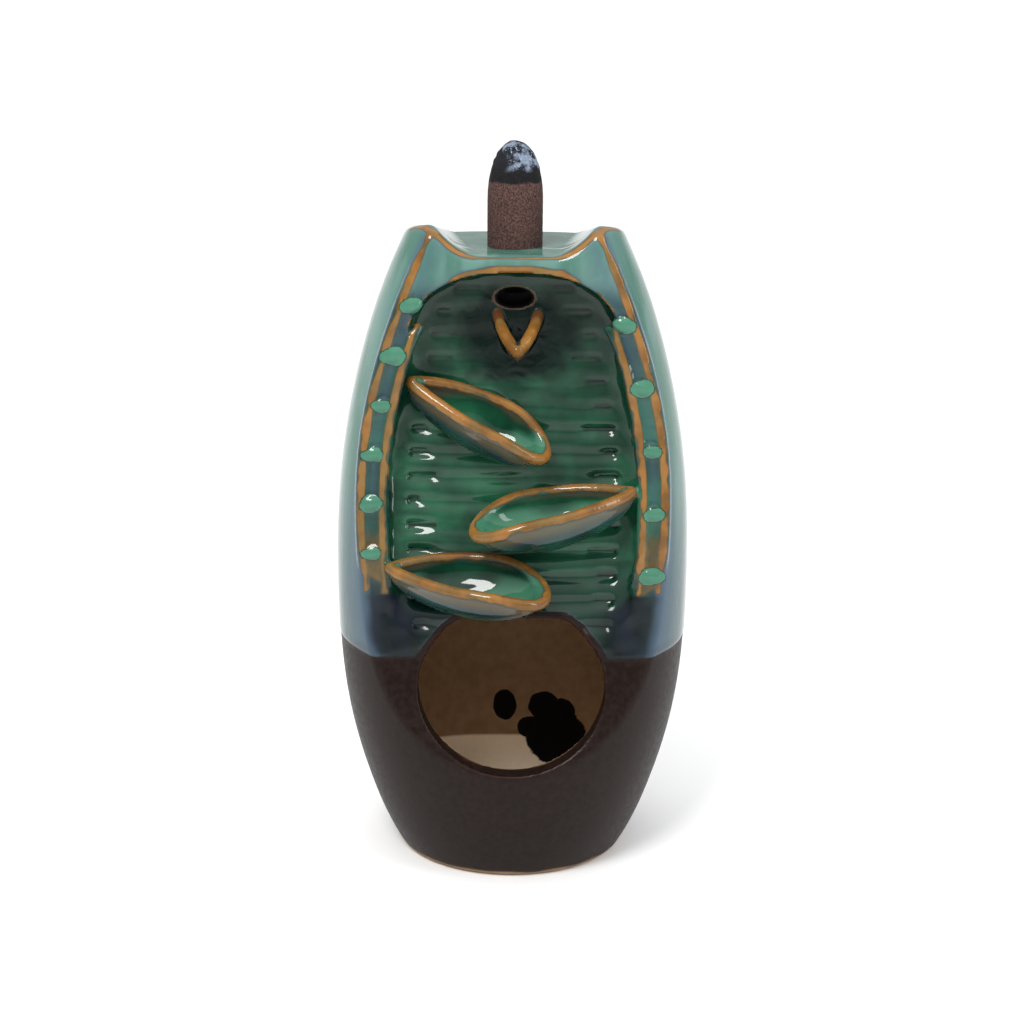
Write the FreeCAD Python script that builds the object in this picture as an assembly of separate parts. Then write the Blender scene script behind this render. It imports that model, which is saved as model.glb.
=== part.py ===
import FreeCAD, Part
import math
import os

# Backflow incense burner: one fired ceramic piece, and a moulded incense cone that stands on it.
# Millimetres, +Z up, front towards -Y. The origin is the middle of the foot, on the table.

# Barrel body: half widths at the foot, the belly and the platform, and how it swells between them
FOOT_HALF_WIDTH = 27.2
BELLY_HALF_WIDTH = 42.3
TOP_HALF_WIDTH = 26.8
BELLY_HEIGHT = 70.0
PLATFORM_HEIGHT = 150.0
LOWER_SWELL = 2.5
UPPER_SWELL = 2.25
FRONT_DEPTH_RATIO = 0.87
BACK_DEPTH_RATIO = 0.78
BACK_SQUARENESS = 3.0
FOOT_ROUNDING = 2.5

# Wall, floor and the shallow recess inside the foot ring
WALL = 5.0
FLOOR = 8.0
CHAMBER_ROUNDING = 9.0
FOOT_RING_WIDTH = 6.5
FOOT_RECESS = 1.5

# Horns at the two front corners of the top, and the open trough between them
HORN_RISE = 7.0
HORN_SETBACK = 12.5
TROUGH_FRONT_FLAT = 4.5
TROUGH_BACK_FLAT = 18.0
TROUGH_FRONT_FLARE = 22.0
TROUGH_BACK_FLARE = 8.0
LINTEL_THICKNESS = 3.4
RIM_ROUNDING = 2.4

# Slanting front face that carries the rails: (height, distance in front of the centre line)
FRONT_FACE = [(166.0, 10.5), (140.0, 14.6), (110.0, 16.2), (80.0, 20.0), (55.0, 23.7), (40.0, 28.9), (26.0, 36.5)]

# Slatted panel sunk between the rails
PANEL_FACE = [(150.0, 4.6), (120.0, 6.4), (90.0, 12.8), (62.0, 23.0), (44.0, 33.0)]
PANEL_FOOT_HEIGHT = 55.0
PANEL_CORNER_RADIUS = 4.0
ARCH_SPRING_HEIGHT = 127.0
ARCH_SQUARENESS = 2.5

# Rails: two beads a side, crossed by leaf-shaped knots at (first height, pitch, count)
RAIL_WIDTH = 5.5
RAIL_BEAD_RADIUS = 1.25
RAIL_FOOT_HEIGHT = 72.0
RAIL_OUTER_TOP = 155.0
RAIL_INNER_TOP = 134.0
RAIL_SEAT = 0.5
KNOT_LENGTH = 5.4
KNOT_HEIGHT = 3.6
KNOT_RISE = 1.4
KNOT_SLANT = 12.0
LEFT_KNOTS = (81.5, 11.5, 6)
RIGHT_KNOTS = (76.5, 14.6, 5)

# Slats of the panel, parted by level grooves with a deeper notch of varied length at both ends
FIRST_GROOVE_HEIGHT = 64.5
SLAT_PITCH = 5.5
GROOVE_RADIUS = 2.4
GROOVE_DEPTH = 0.65
NOTCH_RADIUS = 1.2
NOTCH_DEPTH = 1.3
NOTCH_LENGTH = 6.0
NOTCH_VARIATION = 0.35
GROOVE_SIDE_MARGIN = 5.5
GROOVE_TOP_MARGIN = 5.0

# Front hole into the lower chamber: an ellipse with a flat top
HOLE_HALF_WIDTH = 22.0
HOLE_HALF_HEIGHT = 19.0
HOLE_MIDDLE_HEIGHT = 50.0
HOLE_TOP_HEIGHT = 66.0

# Smoke bore under the cone, and the wider outlet that leads it forward out of the panel
SMOKE_BORE_RADIUS = 2.6
OUTLET_HALF_WIDTH = 4.4
OUTLET_HALF_HEIGHT = 2.4
OUTLET_DROP = 11.0

# Petal bowls: wall, round rim, depth below the rim, leaf outline and the fall of the rim to the spout
PETAL_WALL = 2.2
PETAL_BEAD_RADIUS = 1.25
PETAL_DEPTH = 9.5
PETAL_POINT = 0.8
PETAL_ROOT_TOP = 3.0
PETAL_ROOT_REACH = 4.0
PETAL_ROOT_SHARE = 0.3
SPOUT_SHARE = 0.7
SPOUT_DROP = 2.4
HULL_PROFILE = [(0.0, 1.0), (0.3, 0.95), (0.6, 0.8), (0.85, 0.52), (1.0, 0.25)]

# Incense cone
CONE_RADIUS = 6.4
CONE_HEIGHT = 24.4
CONE_STRAIGHT = 10.5
CONE_BORE_RADIUS = 2.0
CONE_BORE_DEPTH = 17.0

FAR = 120.0
V = FreeCAD.Vector


def half_width(z):
    """Half width of the barrel at a height."""
    if z < BELLY_HEIGHT:
        share = (BELLY_HEIGHT - z) / BELLY_HEIGHT
        return BELLY_HALF_WIDTH - (BELLY_HALF_WIDTH - FOOT_HALF_WIDTH) * share ** LOWER_SWELL
    share = (z - BELLY_HEIGHT) / (PLATFORM_HEIGHT - BELLY_HEIGHT)
    return BELLY_HALF_WIDTH - (BELLY_HALF_WIDTH - TOP_HALF_WIDTH) * share ** UPPER_SWELL


def spline(points, closed=False):
    """Smooth edge through points."""
    curve = Part.BSplineCurve()
    curve.interpolate(points, PeriodicFlag=closed)
    return curve.toShape()


def barrel_section(z, inset):
    """Closed outline of the barrel at a height: an ellipse in front, a squarer curve at the back."""
    across = half_width(z) - inset
    points = []
    count = 28
    for i in range(count):
        angle = 2.0 * math.pi * i / count
        is_back = math.sin(angle) > 0.0
        ratio = BACK_DEPTH_RATIO if is_back else FRONT_DEPTH_RATIO
        power = BACK_SQUARENESS if is_back else 2.0
        depth = ratio * half_width(z) - inset
        terms = abs(math.cos(angle) / across) ** power + abs(math.sin(angle) / depth) ** power
        reach = terms ** (-1.0 / power)
        points.append(V(reach * math.cos(angle), reach * math.sin(angle), z))
    return Part.Wire([spline(points, closed=True)])


def barrel(bottom, top, inset, rounding):
    """Solid of the barrel between two heights, set in by a wall, with a rounded lower edge."""
    count = 10
    heights = [bottom + (top - bottom) * i / (count - 1) for i in range(count)]
    solid = Part.makeLoft([barrel_section(z, inset) for z in heights], True, False)
    lower_edges = [edge for edge in solid.Edges if edge.BoundBox.ZMax < bottom + 0.01]
    return solid.makeFillet(rounding, lower_edges)


def face_curve(face):
    """Profile of the front face or the panel, in the middle plane."""
    curve = Part.BSplineCurve()
    curve.interpolate([V(0, -front, height) for height, front in face])
    return curve


def face_front(face, z):
    """Distance of a profile in front of the centre line at a height."""
    hits = face_curve(face).intersect(Part.Line(V(0, -FAR, z), V(0, FAR, z)))
    return -hits[0].Y


def in_front_of(face, shift):
    """Solid that fills everything in front of a profile, moved back by a shift."""
    edge = spline([V(-FAR, shift - front, height) for height, front in face])
    top = edge.firstVertex().Point
    foot = edge.lastVertex().Point
    rest = Part.makePolygon([foot, V(-FAR, -FAR, foot.z), V(-FAR, -FAR, top.z), top])
    return Part.Face(Part.Wire([edge] + rest.Edges)).extrude(V(2 * FAR, 0, 0))


def rail_line(z):
    """Half width of the outer rail at a height, where the front face cuts the barrel."""
    across = half_width(z)
    share = face_front(FRONT_FACE, z) / (FRONT_DEPTH_RATIO * across)
    return across * math.sqrt(max(0.0, 1.0 - share ** 2))


def panel_half_width(z):
    """Half width of the panel at a height: beside the rails below the spring of the arch, then the arch."""
    if z <= ARCH_SPRING_HEIGHT:
        return rail_line(z) - RAIL_WIDTH
    crown = PLATFORM_HEIGHT - LINTEL_THICKNESS
    share = (z - ARCH_SPRING_HEIGHT) / (crown - ARCH_SPRING_HEIGHT)
    spring = rail_line(ARCH_SPRING_HEIGHT) - RAIL_WIDTH
    return spring * max(0.0, 1.0 - share ** ARCH_SQUARENESS) ** (1.0 / ARCH_SQUARENESS)


def panel_outline():
    """Outline of the sunk panel seen from the front: level foot, curved sides and an arched top."""
    side_count = 4
    step = (ARCH_SPRING_HEIGHT - PANEL_FOOT_HEIGHT) / side_count
    sides = [PANEL_FOOT_HEIGHT + step * i for i in range(side_count)]
    right = [V(panel_half_width(z), 0, z) for z in sides]
    crown = PLATFORM_HEIGHT - LINTEL_THICKNESS
    spring = panel_half_width(ARCH_SPRING_HEIGHT)
    arch_count = 6
    for i in range(arch_count):
        angle = math.radians(90.0 * i / (arch_count - 1))
        across = spring * math.cos(angle) ** (2.0 / ARCH_SQUARENESS)
        height = (crown - ARCH_SPRING_HEIGHT) * math.sin(angle) ** (2.0 / ARCH_SQUARENESS)
        right.append(V(across, 0, ARCH_SPRING_HEIGHT + height))
    left = [V(-p.x, 0, p.z) for p in reversed(right[:-1])]
    return Part.Wire([spline(right + left), Part.makeLine(left[-1], right[0])])


def panel_recess():
    """Volume taken out between the rails, with a rounded corner round the panel."""
    outline = Part.Face(panel_outline())
    outline.translate(V(0, -FAR, 0))
    recess = outline.extrude(V(0, 2 * FAR, 0)).common(in_front_of(PANEL_FACE, 0.0))
    back_edges = [edge for edge in recess.Edges if edge.BoundBox.YMin > -FAR / 2 and edge.BoundBox.ZLength > 1.0]
    return recess.makeFillet(PANEL_CORNER_RADIUS, back_edges)


def trough_section(y, flat, flare):
    """Section of the open trough above the platform: level floor and parabolic sides."""
    lid = HORN_RISE + 12.0
    shares = [0.0, 0.25, 0.5, 0.75, 1.0]
    right = [V(flat + flare * share, y, PLATFORM_HEIGHT + lid * share ** 2) for share in shares]
    left = [V(-p.x, y, p.z) for p in reversed(right)]
    floor = Part.makeLine(left[-1], right[0])
    ceiling = Part.makeLine(right[-1], left[0])
    return Part.Wire([floor, spline(right), ceiling, spline(left)])


def top_trough():
    """Volume taken out above the platform: a bow between the horns in front, wide and level at the back."""
    front = trough_section(-30.0, TROUGH_FRONT_FLAT, TROUGH_FRONT_FLARE)
    back = trough_section(34.0, TROUGH_BACK_FLAT, TROUGH_BACK_FLARE)
    return Part.makeLoft([front, back], True, True)


def above_rim():
    """Volume above the side edges of the top, which climb from the back to the horns."""
    back = BACK_DEPTH_RATIO * TOP_HALF_WIDTH
    slope = HORN_RISE / (back + HORN_SETBACK)
    front_point = V(-FAR, -FAR, PLATFORM_HEIGHT + (back + FAR) * slope)
    back_point = V(-FAR, FAR, PLATFORM_HEIGHT - (FAR - back) * slope)
    outline = Part.makePolygon([front_point, back_point, V(-FAR, FAR, 2 * FAR), V(-FAR, -FAR, 2 * FAR), front_point])
    return Part.Face(outline).extrude(V(2 * FAR, 0, 0))


def bead_rings(points, radius, level):
    """Circles square to a run of points, all begun on the same side of a level direction, so no bead twists."""
    rings = []
    for i in range(len(points)):
        along = (points[min(i + 1, len(points) - 1)] - points[max(i - 1, 0)]).normalize()
        side = level.cross(along).normalize()
        ring = Part.Wire([Part.makeCircle(radius)])
        ring.Placement = FreeCAD.Placement(points[i], FreeCAD.Rotation(side, along.cross(side), along, "ZXY"))
        rings.append(ring)
    return rings


def rail_bead(inset, top):
    """Round bead along the front face, set in from its outer edge; both ends run into the body."""
    count = 9
    heights = [RAIL_FOOT_HEIGHT + (top - RAIL_FOOT_HEIGHT) * i / (count - 1) for i in range(count)]
    points = [V(rail_line(z) - inset, RAIL_SEAT - face_front(FRONT_FACE, z), z) for z in heights]
    points[0] = points[0] + V(-RAIL_BEAD_RADIUS, 2.0 * RAIL_BEAD_RADIUS, 0)
    points[-1] = points[-1] + V(-RAIL_BEAD_RADIUS, 2.0 * RAIL_BEAD_RADIUS, 0)
    return Part.makeLoft(bead_rings(points, RAIL_BEAD_RADIUS, V(0, 1, 0)), True, False)


def rails():
    """Two beads on each side: one up the outer edge of the front face to the horn, one beside the panel."""
    right = [rail_bead(RAIL_SEAT, RAIL_OUTER_TOP), rail_bead(RAIL_WIDTH, RAIL_INNER_TOP)]
    return right + [bead.mirror(V(0, 0, 0), V(1, 0, 0)) for bead in right]


def knot(side, z):
    """Leaf-shaped knot that crosses a rail at a height."""
    stretch = FreeCAD.Matrix()
    stretch.scale(0.5 * KNOT_LENGTH, KNOT_RISE, 0.5 * KNOT_HEIGHT)
    leaf = Part.makeSphere(1.0).transformGeometry(stretch)
    leaf.rotate(V(0, 0, 0), V(0, 1, 0), side * KNOT_SLANT)
    leaf.translate(V(side * (rail_line(z) - 0.5 * RAIL_WIDTH), 0.3 - face_front(FRONT_FACE, z), z))
    return leaf


def knots():
    """All knots, staggered left and right."""
    shapes = []
    for side, (first, pitch, count) in ((-1, LEFT_KNOTS), (1, RIGHT_KNOTS)):
        shapes += [knot(side, first + pitch * i) for i in range(count)]
    return shapes


def slat_grooves():
    """Level grooves between the slats, from the foot of the panel to the arch."""
    shapes = []
    crown = PLATFORM_HEIGHT - LINTEL_THICKNESS - GROOVE_TOP_MARGIN
    count = int((crown - FIRST_GROOVE_HEIGHT) / SLAT_PITCH) + 1
    for i in range(count):
        z = FIRST_GROOVE_HEIGHT + SLAT_PITCH * i
        reach = panel_half_width(z) - GROOVE_SIDE_MARGIN
        face = -face_front(PANEL_FACE, z)
        axis = face + GROOVE_DEPTH - GROOVE_RADIUS
        shapes.append(Part.makeCylinder(GROOVE_RADIUS, 2 * reach, V(-reach, axis, z), V(1, 0, 0)))
        notch_axis = face + NOTCH_DEPTH - NOTCH_RADIUS
        for side in (-1, 1):
            varied = NOTCH_LENGTH * (1.0 + NOTCH_VARIATION * math.sin(2.4 * i + side))
            length = min(varied, 0.5 * reach)
            outer_end = V(side * (reach + 0.5), notch_axis, z)
            shapes.append(Part.makeCylinder(NOTCH_RADIUS, length, outer_end, V(-side, 0, 0)))
    return shapes


def leaf_breadth(share):
    """Half breadth of a leaf at a share of its length: pointed at the stem, round at the spout, 1 at the widest."""
    widest = PETAL_POINT / (PETAL_POINT + 0.5)
    peak = widest ** PETAL_POINT * math.sqrt(1.0 - widest)
    return share ** PETAL_POINT * math.sqrt(max(0.0, 1.0 - share)) / peak


def leaf_points(length, breadth, bow, inset, scale, w):
    """Points round a leaf, from its stem point along one side, round the spout and back."""
    count = 16
    points = []
    for i in range(count + 1):
        turn = 2.0 * math.pi * i / count
        share = 0.5 * (1.0 - math.cos(turn))
        side = 1.0 if i <= count / 2 else -1.0
        u = inset + (length - 2.0 * inset) * share - 0.5 * length
        across = bow * 4.0 * share * (1.0 - share) + side * (breadth - inset) * leaf_breadth(share)
        points.append(V(scale * u, scale * across, w))
    return points


def leaf_hull(length, breadth, bow, inset, depth):
    """Boat-shaped solid under a leaf, drawn in towards its keel."""
    wires = [Part.Wire([spline(leaf_points(length, breadth, bow, inset, 1.0, PETAL_BEAD_RADIUS))])]
    for share, scale in HULL_PROFILE:
        wires.append(Part.Wire([spline(leaf_points(length, breadth, bow, inset, scale, -depth * share))]))
    return Part.makeLoft(wires, True, False)


def spout_dip(share):
    """Drop of the rim towards the spout."""
    run = max(0.0, (share - SPOUT_SHARE) / (1.0 - SPOUT_SHARE))
    return -SPOUT_DROP * run * run * (3.0 - 2.0 * run)


def above_leaf_rim(length):
    """Volume above the rim: level from the stem, then falling to the spout."""
    shares = [-0.2, 0.2, 0.5, SPOUT_SHARE, 0.78, 0.86, 0.93, 1.0, 1.2]
    line = [V(length * (share - 0.5), -FAR, spout_dip(min(share, 1.0))) for share in shares]
    lid = 3.0 * PETAL_BEAD_RADIUS
    rest = Part.makePolygon([line[-1], V(line[-1].x, -FAR, lid), V(line[0].x, -FAR, lid), line[0]])
    return Part.Face(Part.Wire([spline(line)] + rest.Edges)).extrude(V(0, 2 * FAR, 0))


def leaf_rim(length, breadth, bow):
    """Round bead along both sides of the rim, with a small ball at the stem point."""
    points = leaf_points(length, breadth, bow, 0.5 * PETAL_WALL, 1.0, 0.0)
    for point in points:
        point.z = spout_dip((point.x + 0.5 * length) / length)
    rings = bead_rings(points, PETAL_BEAD_RADIUS, V(0, 0, 1))
    half = len(rings) // 2
    sides = [Part.makeLoft(rings[:half + 1], True, False), Part.makeLoft(rings[half:], True, False)]
    return sides + [Part.makeSphere(1.15 * PETAL_BEAD_RADIUS, points[0])]


def petal_root(length, breadth, behind):
    """Thick stem under a bowl that joins it to the panel behind."""
    radius = PETAL_ROOT_SHARE * length
    stem = Part.makeCylinder(radius, breadth + PETAL_ROOT_REACH, V(0, 0, 0), V(0, behind, 0))
    squash = FreeCAD.Matrix()
    squash.scale(1.0, 1.0, 0.8 * PETAL_DEPTH / radius)
    below = Part.makeBox(2 * FAR, 2 * FAR, FAR, V(-FAR, -FAR, -FAR - PETAL_ROOT_TOP))
    return stem.transformGeometry(squash).common(below)


def petal(tip, spout, front, back, has_root):
    """Pouring bowl from a stem point to a low round spout, with points given on its front and back rim."""
    along = (spout - tip).normalize()
    width = front - back
    up = along.cross(width).normalize()
    up = up if up.z > 0 else up * -1.0
    across = up.cross(along)
    length = tip.distanceToPoint(spout)
    middle = (tip + spout) * 0.5
    breadth = 0.5 * abs(width.dot(across))
    bow = ((front + back) * 0.5 - middle).dot(across)
    bowl = leaf_hull(length, breadth, bow, 0.0, PETAL_DEPTH)
    if has_root:
        behind = -1.0 if width.dot(across) > 0 else 1.0
        bowl = bowl.fuse(petal_root(length, breadth, behind))
    bowl = bowl.cut(leaf_hull(length, breadth, bow, PETAL_WALL, PETAL_DEPTH - PETAL_WALL))
    bowl = bowl.cut(above_leaf_rim(length))
    bowl = bowl.fuse(leaf_rim(length, breadth, bow))
    columns = (along, across, up, middle)
    rows = [[c.x for c in columns], [c.y for c in columns], [c.z for c in columns], [0, 0, 0, 1]]
    bowl.Placement = FreeCAD.Placement(FreeCAD.Matrix(*rows[0], *rows[1], *rows[2], *rows[3]))
    return bowl


def petals():
    """The four bowls that step the smoke down the panel: a small cup, then left, right and left."""
    cup = petal(V(0.8, -13.5, 127.4), V(0.8, 4.5, 143.5), V(6.8, -4.5, 135.5), V(-5.2, -4.5, 135.5), False)
    upper = petal(V(-24.4, -12.0, 121.0), V(9.0, -18.0, 106.0), V(-8.5, -21.5, 114.0), V(-9.5, -7.6, 121.4), True)
    middle = petal(V(28.2, -18.0, 96.3), V(-10.0, -26.0, 90.5), V(8.5, -30.5, 94.6), V(8.5, -12.0, 97.6), True)
    lower = petal(V(-29.2, -21.5, 78.5), V(8.6, -30.5, 76.5), V(-10.5, -34.5, 78.5), V(-12.0, -15.5, 83.0), True)
    return [cup, upper, middle, lower]


def chamber():
    """Hollow one wall inside the barrel, behind the front face and the panel, below the smoke outlet."""
    ceiling = PLATFORM_HEIGHT - OUTLET_DROP - OUTLET_HALF_HEIGHT - WALL
    hollow = barrel(FLOOR, ceiling, WALL, CHAMBER_ROUNDING)
    return hollow.cut(in_front_of(PANEL_FACE, WALL)).cut(in_front_of(FRONT_FACE, WALL))


def front_hole():
    """Flat-topped oval tunnel from the front into the chamber."""
    oval = Part.Ellipse(V(0, 0, 0), HOLE_HALF_WIDTH, HOLE_HALF_HEIGHT).toShape()
    oval.rotate(V(0, 0, 0), V(1, 0, 0), 90)
    oval.translate(V(0, -FAR, HOLE_MIDDLE_HEIGHT))
    tunnel = Part.Face(Part.Wire([oval])).extrude(V(0, FAR, 0))
    return tunnel.common(Part.makeBox(2 * FAR, 2 * FAR, HOLE_TOP_HEIGHT, V(-FAR, -FAR, 0)))


def smoke_bore():
    """Bore down through the platform under the cone, and the oval outlet from its foot to the front."""
    outlet_height = PLATFORM_HEIGHT - OUTLET_DROP
    bore = Part.makeCylinder(SMOKE_BORE_RADIUS, 2 * OUTLET_DROP, V(0, 0, outlet_height))
    oval = Part.Ellipse(V(0, 0, 0), OUTLET_HALF_WIDTH, OUTLET_HALF_HEIGHT).toShape()
    oval.rotate(V(0, 0, 0), V(1, 0, 0), 90)
    oval.translate(V(0, 0, outlet_height))
    return [bore, Part.Face(Part.Wire([oval])).extrude(V(0, -2 * OUTLET_DROP, 0))]


def foot_recess():
    """Shallow hollow inside the foot ring."""
    return Part.Face(barrel_section(0.0, FOOT_RING_WIDTH)).extrude(V(0, 0, FOOT_RECESS))


def melted_top(body):
    """The body with its upper rim, its horns and the edge of its front face rounded as glazed clay is."""
    upper = [e for e in body.Edges if e.BoundBox.ZMin > PLATFORM_HEIGHT - 0.1 and not is_trough_foot(e)]
    front = [e for e in body.Edges if e.BoundBox.ZLength > 100.0 and e.BoundBox.YLength > 1.0]
    return body.makeFillet(RIM_ROUNDING, upper + front)


def is_trough_foot(edge):
    """True for the two edges where the trough's floor meets its sides."""
    level = edge.BoundBox.ZLength < 0.05
    return level and edge.BoundBox.YLength > 20.0


def burner_body():
    """The whole fired piece."""
    body = barrel(0.0, PLATFORM_HEIGHT + HORN_RISE + 3.0, 0.0, FOOT_ROUNDING)
    body = body.cut([in_front_of(FRONT_FACE, 0.0), above_rim(), top_trough()])
    body = melted_top(body)
    body = body.cut(panel_recess())
    body = body.cut(slat_grooves())
    body = body.fuse(rails() + knots())
    body = body.fuse(petals())
    return body.cut([chamber(), front_hole(), foot_recess()] + smoke_bore())


def incense_cone():
    """Moulded cone: straight foot, bullet-shaped top and a blind smoke bore from below."""
    foot = V(CONE_RADIUS, 0, 0)
    shoulder = V(CONE_RADIUS, 0, CONE_STRAIGHT)
    rise = CONE_HEIGHT - CONE_STRAIGHT
    bullet = [shoulder]
    for share in (0.27, 0.47, 0.68, 0.87):
        bullet.append(V(CONE_RADIUS * math.sqrt(1.0 - share ** 2.2), 0, CONE_STRAIGHT + rise * share))
    tip = V(0, 0, CONE_HEIGHT)
    bullet.append(tip)
    foot_edge = Part.makeLine(V(0, 0, 0), foot)
    side = Part.makeLine(foot, shoulder)
    middle = Part.makeLine(tip, V(0, 0, 0))
    outline = Part.Wire([foot_edge, side, spline(bullet), middle])
    cone = Part.Face(outline).revolve(V(0, 0, 0), V(0, 0, 1), 360)
    cone = cone.cut(Part.makeCylinder(CONE_BORE_RADIUS, CONE_BORE_DEPTH))
    cone.translate(V(0, 0, PLATFORM_HEIGHT))
    return cone


def main():
    os.makedirs("parts", exist_ok=True)
    burner_body().exportStep("parts/burner_body.step")
    incense_cone().exportStep("parts/incense_cone.step")


main()
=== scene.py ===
import bpy
import math
import numpy as np
from mathutils import Euler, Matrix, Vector
from mathutils.kdtree import KDTree


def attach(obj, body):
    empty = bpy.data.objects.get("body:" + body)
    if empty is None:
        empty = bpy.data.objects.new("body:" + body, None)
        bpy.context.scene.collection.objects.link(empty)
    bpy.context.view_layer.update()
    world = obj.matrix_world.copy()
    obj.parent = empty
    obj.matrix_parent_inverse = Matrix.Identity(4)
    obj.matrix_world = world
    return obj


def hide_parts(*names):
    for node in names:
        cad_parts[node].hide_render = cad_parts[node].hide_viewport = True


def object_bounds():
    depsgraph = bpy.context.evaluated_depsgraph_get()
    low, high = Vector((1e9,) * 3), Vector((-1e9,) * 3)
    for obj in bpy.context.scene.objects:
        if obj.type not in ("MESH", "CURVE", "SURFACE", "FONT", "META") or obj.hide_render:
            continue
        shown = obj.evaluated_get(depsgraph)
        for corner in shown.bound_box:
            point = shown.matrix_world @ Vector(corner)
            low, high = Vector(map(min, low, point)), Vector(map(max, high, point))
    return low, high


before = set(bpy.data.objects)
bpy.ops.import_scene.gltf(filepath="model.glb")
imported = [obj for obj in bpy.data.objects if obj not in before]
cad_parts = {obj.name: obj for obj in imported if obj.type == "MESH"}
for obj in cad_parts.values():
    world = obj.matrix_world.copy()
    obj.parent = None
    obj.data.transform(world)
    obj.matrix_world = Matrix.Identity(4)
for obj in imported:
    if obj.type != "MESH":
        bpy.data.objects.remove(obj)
cad_low, cad_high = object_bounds()

MM = 0.001

# The camera of the photograph: its place, tilt, roll and focal length in pixels of a 1024 frame
CAMERA_DISTANCE = 455 * MM
CAMERA_HEIGHT = 232 * MM
CAMERA_TILT = math.radians(17.9)
CAMERA_ROLL = math.radians(0.45)
FOCAL_PIXELS = 1980.0
FRAME_PIXELS = 1024.0
CENTRE_PIXEL = (512.8, 513.5)
SENSOR_WIDTH = 36.0

# The studio: floor, softboxes (place, aim, size, power, colour), and the room's light as ramps
# over the height of the view (where the ramp ends, strength at the horizon, strength at its end)
FLOOR_SIZE = 12.0
FLOOR_COLOUR = (0.88, 0.88, 0.88, 1.0)
FLOOR_ROUGHNESS = 0.8
SOFTBOXES = {
    "key_softbox": ((-0.20, -0.42, 0.66), (0, 0, 0.09), (0.22, 0.22), 3.6, (1.0, 0.99, 0.97)),
    "side_softbox": ((0.62, -0.35, 0.42), (0, 0, 0.08), (0.12, 0.6), 1.6, (0.95, 0.98, 1.0))}
ROOM_RAMPS = [(1.0, 0.27, 1.62), (0.12, 0.7, 0.0)]

# Barrel, in millimetres as all sizes of the fired piece: half widths, curves of the sides, depths
FOOT_HALF_WIDTH = 27.2
BELLY_HALF_WIDTH = 42.3
TOP_HALF_WIDTH = 26.8
BELLY_HEIGHT = 70.0
PLATFORM_HEIGHT = 150.0
LOWER_SWELL = 2.5
UPPER_SWELL = 2.25
FRONT_DEPTH_RATIO = 0.87
BACK_DEPTH_RATIO = 0.78
BACK_SQUARENESS = 3.0
FLOOR = 8.0
CHAMBER_TOP = 131.6
CHAMBER_FLOOR_LINE = 16.9

# Top: the side edges that climb to the horns, and the open trough between the horns, front and back
HORN_RISE = 7.0
HORN_SETBACK = 12.5
TROUGH_ENDS = (-30.0, 34.0)
TROUGH_FLATS = (4.5, 18.0)
TROUGH_FLARES = (22.0, 8.0)
TROUGH_RISE = 19.0

# Front face and sunk panel: height and distance in front of the middle
FRONT_FACE = [
    (26.0, 36.5), (40.0, 28.9), (55.0, 23.7), (80.0, 20.0), (110.0, 16.2), (140.0, 14.6), (166.0, 10.5)]
PANEL_FACE = [(44.0, 33.0), (62.0, 23.0), (90.0, 12.8), (120.0, 6.4), (150.0, 4.6)]
ARCH_SPRING_HEIGHT = 127.0
ARCH_CROWN_HEIGHT = 146.6
ARCH_SQUARENESS = 2.5

# Rails, and the knots on them: length, depth and height of a knot, then first height, pitch and count
RAIL_WIDTH = 5.5
RAIL_FOOT_HEIGHT = 72.0
RAIL_INNER_TOP = 134.0
KNOT_SIZE = (5.4, 4.4, 3.6)
LEFT_KNOTS = (81.5, 11.5, 6)
RIGHT_KNOTS = (76.5, 14.6, 5)

# Front hole, smoke bore and its oval outlet
HOLE_HALF_WIDTH = 22.0
HOLE_HALF_HEIGHT = 19.0
HOLE_MIDDLE_HEIGHT = 50.0
HOLE_TOP_HEIGHT = 66.0
SMOKE_BORE_REACH = 3.0
OUTLET_HEIGHT = 139.0
OUTLET_HALF_WIDTH = 4.4
OUTLET_HALF_HEIGHT = 2.4

# The bowls: stem point, spout, and a point on the front and back of the rim
PETALS = [
    ((0.8, -13.5, 127.4), (0.8, 4.5, 143.5), (6.8, -4.5, 135.5), (-5.2, -4.5, 135.5)),
    ((-24.4, -12.0, 121.0), (9.0, -18.0, 106.0), (-8.5, -21.5, 114.0), (-9.5, -7.6, 121.4)),
    ((28.2, -18.0, 96.3), (-10.0, -26.0, 90.5), (8.5, -30.5, 94.6), (8.5, -12.0, 97.6)),
    ((-29.2, -21.5, 78.5), (8.6, -30.5, 76.5), (-10.5, -34.5, 78.5), (-12.0, -15.5, 83.0))]
PETAL_WALL = 2.2
PETAL_POINT = 0.8
PETAL_ZONE = (66.0, 128.0)
SPOUT_SHARE = 0.7
SPOUT_DROP = 2.4
RIM_POINTS = 240

# Incense: where the char begins
CHAR_HEIGHT = 165.3

# The glaze: how far down it was dipped, how thick it stands, and how far it fills and rounds the panel
DIP_HEIGHT = 57.0
DIP_WAVE = 0.9
GLAZE_THICKNESS = 0.22
PANEL_FILL = 0.85
PANEL_SOFTNESS = 0.75
PANEL_RIPPLE = 0.26
WALL_RIPPLE = 0.07

BODY_VOXEL = (0.5 * MM, 0.9 * MM)
CONE_VOXEL = (0.25 * MM, 0.5 * MM)
BODY_TRIANGLES = 190000

# Colours as they look on a screen, 0 to 255: the green glaze where it stands thick, with painted light in the
# bowls and painted shade on the hulls, under the arch and partly low on the panel
PANEL_GREENS = ((14, 54, 36), (34, 92, 64))
BRUSHED_GREEN = (16, 44, 31)
ARCH_SHADOW_GREEN = (8, 30, 21)
LOW_POOL_AND_SHADE_GREEN = (7, 22, 20)
LIT_BOWL_GREENS = ((46, 104, 78), (78, 136, 108))
SHADED_HULL_GREENS = ((8, 34, 26), (22, 58, 50))
DRIP_GREEN = (6, 20, 15)
POOL_GREEN = (5, 16, 12)
CHIN_DARKS = ((10, 17, 17), (20, 25, 36))

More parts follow.
